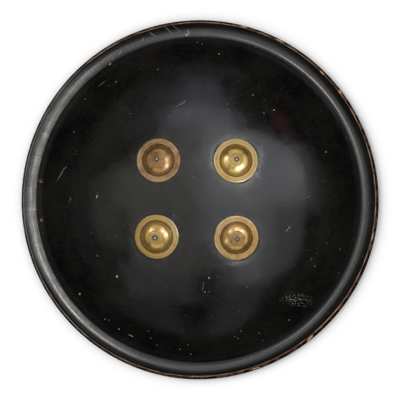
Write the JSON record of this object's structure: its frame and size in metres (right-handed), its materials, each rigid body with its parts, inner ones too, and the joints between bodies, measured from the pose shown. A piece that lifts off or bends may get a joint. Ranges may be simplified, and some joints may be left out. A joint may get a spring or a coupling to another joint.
{
  "type": "round hide shield",
  "caption": "Round convex shield of black lacquered hide with an upturned brim, domed brass bosses riveted through it, and iron rings with leather grips behind.",
  "frame": {"origin": "under the shield's middle, on the surface that it lies on face up", "axes": "+Z out of the shield's front, +Y up as the picture shows it, +X to the picture's right"},
  "size_m": [0.5, 0.5, 0.0905],
  "materials": {
    "lacquered_hide": "worn semi-gloss black lacquer",
    "brass": "handled, toned",
    "iron": "forged, dark",
    "grip_leather": "dry, plain"
  },
  "bodies": {
    "root": {"hide_shell": "lacquered_hide", "boss_upper_left": "brass", "boss_upper_right": "brass", "boss_lower_left": "brass", "boss_lower_right": "brass", "ring_bolt_upper_left": "iron", "ring_bolt_upper_right": "iron", "ring_bolt_lower_left": "iron", "ring_bolt_lower_right": "iron", "ring_upper_left": "iron", "ring_upper_right": "iron", "ring_lower_left": "iron", "ring_lower_right": "iron", "grip_strap_left": "grip_leather", "grip_strap_right": "grip_leather"}
  },
  "joints": []
}
